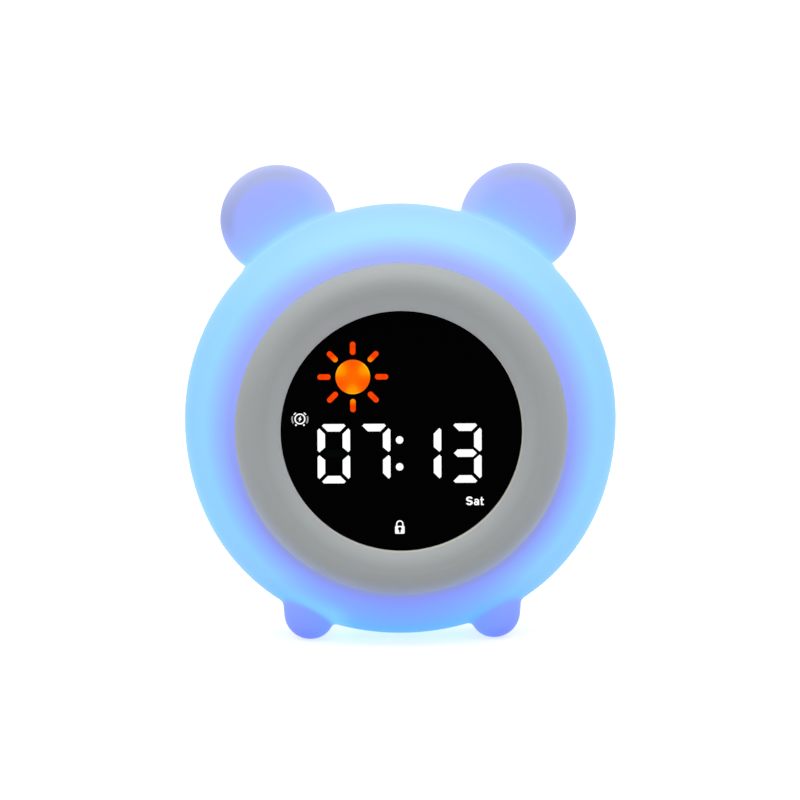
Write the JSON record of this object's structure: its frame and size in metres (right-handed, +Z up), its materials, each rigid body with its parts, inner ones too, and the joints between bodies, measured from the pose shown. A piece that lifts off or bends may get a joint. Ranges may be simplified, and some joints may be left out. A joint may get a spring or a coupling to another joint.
{
  "type": "alarm clock with night light",
  "caption": "Round bedside alarm clock for children, with a glowing silicone cover with ears and feet, a dark round display in a grey ring, and press keys on the back.",
  "frame": {"origin": "on the surface that the clock stands on, under the middle of its box", "axes": "-Y out of the display towards the viewer, +Y out of the back, +Z up"},
  "size_m": [0.12, 0.0588, 0.131],
  "materials": {
    "glow_silicone": "satin, translucent, lit from inside",
    "milky_plastic": "satin, translucent white",
    "grey_plastic": "fine satin",
    "dark_lens": "polished black",
    "black_film": "smooth",
    "white_plastic": "fine satin",
    "key_plastic": "satin",
    "white_epoxy": "milky",
    "orange_epoxy": "milky orange",
    "board_green": "solder mask",
    "chip_black": "moulded",
    "lead_white": "moulded",
    "bright_steel": "bright",
    "dark_steel": "dark plated",
    "foil_pouch": "dull foil",
    "black_foam": "open foam",
    "cone_paper": "pressed paper"
  },
  "bodies": {
    "clock": {"battery_cell": "foil_pouch", "battery_tape": "black_foam", "bezel_ring": "grey_plastic", "bezel_screws": "bright_steel", "clock_crystal": "bright_steel", "colon_dots": "white_epoxy", "cover_screws": "bright_steel", "diffuser_housing": "milky_plastic", "digit_segments": "white_epoxy", "display_leds": "lead_white", "display_lens": "dark_lens", "icon_windows": "white_epoxy", "inner_carrier": "white_plastic", "key_switches": "chip_black", "lead_sockets": "lead_white", "main_board": "board_green", "main_board_chips": "chip_black", "main_board_screws": "bright_steel", "mask_film": "black_film", "power_switch_base": "chip_black", "power_switch_can": "bright_steel", "rear_board": "board_green", "rear_board_screws": "bright_steel", "rear_cover": "white_plastic", "ring_board_screws": "bright_steel", "ring_leds": "lead_white", "ring_light_board": "board_green", "segment_reflector": "white_plastic", "silicone_cover": "glow_silicone", "speaker_basket": "dark_steel", "speaker_cone": "cone_paper", "speaker_gasket": "black_foam", "speaker_magnet": "dark_steel", "sun_disc": "orange_epoxy", "sun_rays": "orange_epoxy", "usb_socket_shell": "bright_steel", "usb_socket_tongue": "chip_black"},
    "alarm_key": {"alarm_button": "key_plastic", "alarm_plunger": "chip_black"},
    "up_key": {"up_button": "key_plastic", "up_plunger": "chip_black"},
    "light_key": {"light_button": "key_plastic", "light_plunger": "chip_black"},
    "sound_key": {"sound_button": "key_plastic", "sound_plunger": "chip_black"},
    "down_key": {"down_button": "key_plastic", "down_plunger": "chip_black"},
    "clock_key": {"clock_button": "key_plastic", "clock_plunger": "chip_black"},
    "power_slide": {"power_switch_knob": "chip_black"}
  },
  "joints": [
    {"name": "alarm_press", "type": "slide", "parent": "clock", "child": "alarm_key", "axis": [0, -1, 0], "range_m": [0, 0.0005], "stiffness_N_per_m": 2000},
    {"name": "up_press", "type": "slide", "parent": "clock", "child": "up_key", "axis": [0, -1, 0], "range_m": [0, 0.0005], "stiffness_N_per_m": 2000},
    {"name": "light_press", "type": "slide", "parent": "clock", "child": "light_key", "axis": [0, -1, 0], "range_m": [0, 0.0005], "stiffness_N_per_m": 2000},
    {"name": "sound_press", "type": "slide", "parent": "clock", "child": "sound_key", "axis": [0, -1, 0], "range_m": [0, 0.0005], "stiffness_N_per_m": 2000},
    {"name": "down_press", "type": "slide", "parent": "clock", "child": "down_key", "axis": [0, -1, 0], "range_m": [0, 0.0005], "stiffness_N_per_m": 2000},
    {"name": "clock_press", "type": "slide", "parent": "clock", "child": "clock_key", "axis": [0, -1, 0], "range_m": [0, 0.0005], "stiffness_N_per_m": 2000},
    {"name": "power_switch_slide", "type": "slide", "parent": "clock", "child": "power_slide", "axis": [1, 0, 0], "range_m": [-0.002, 0]}
  ]
}
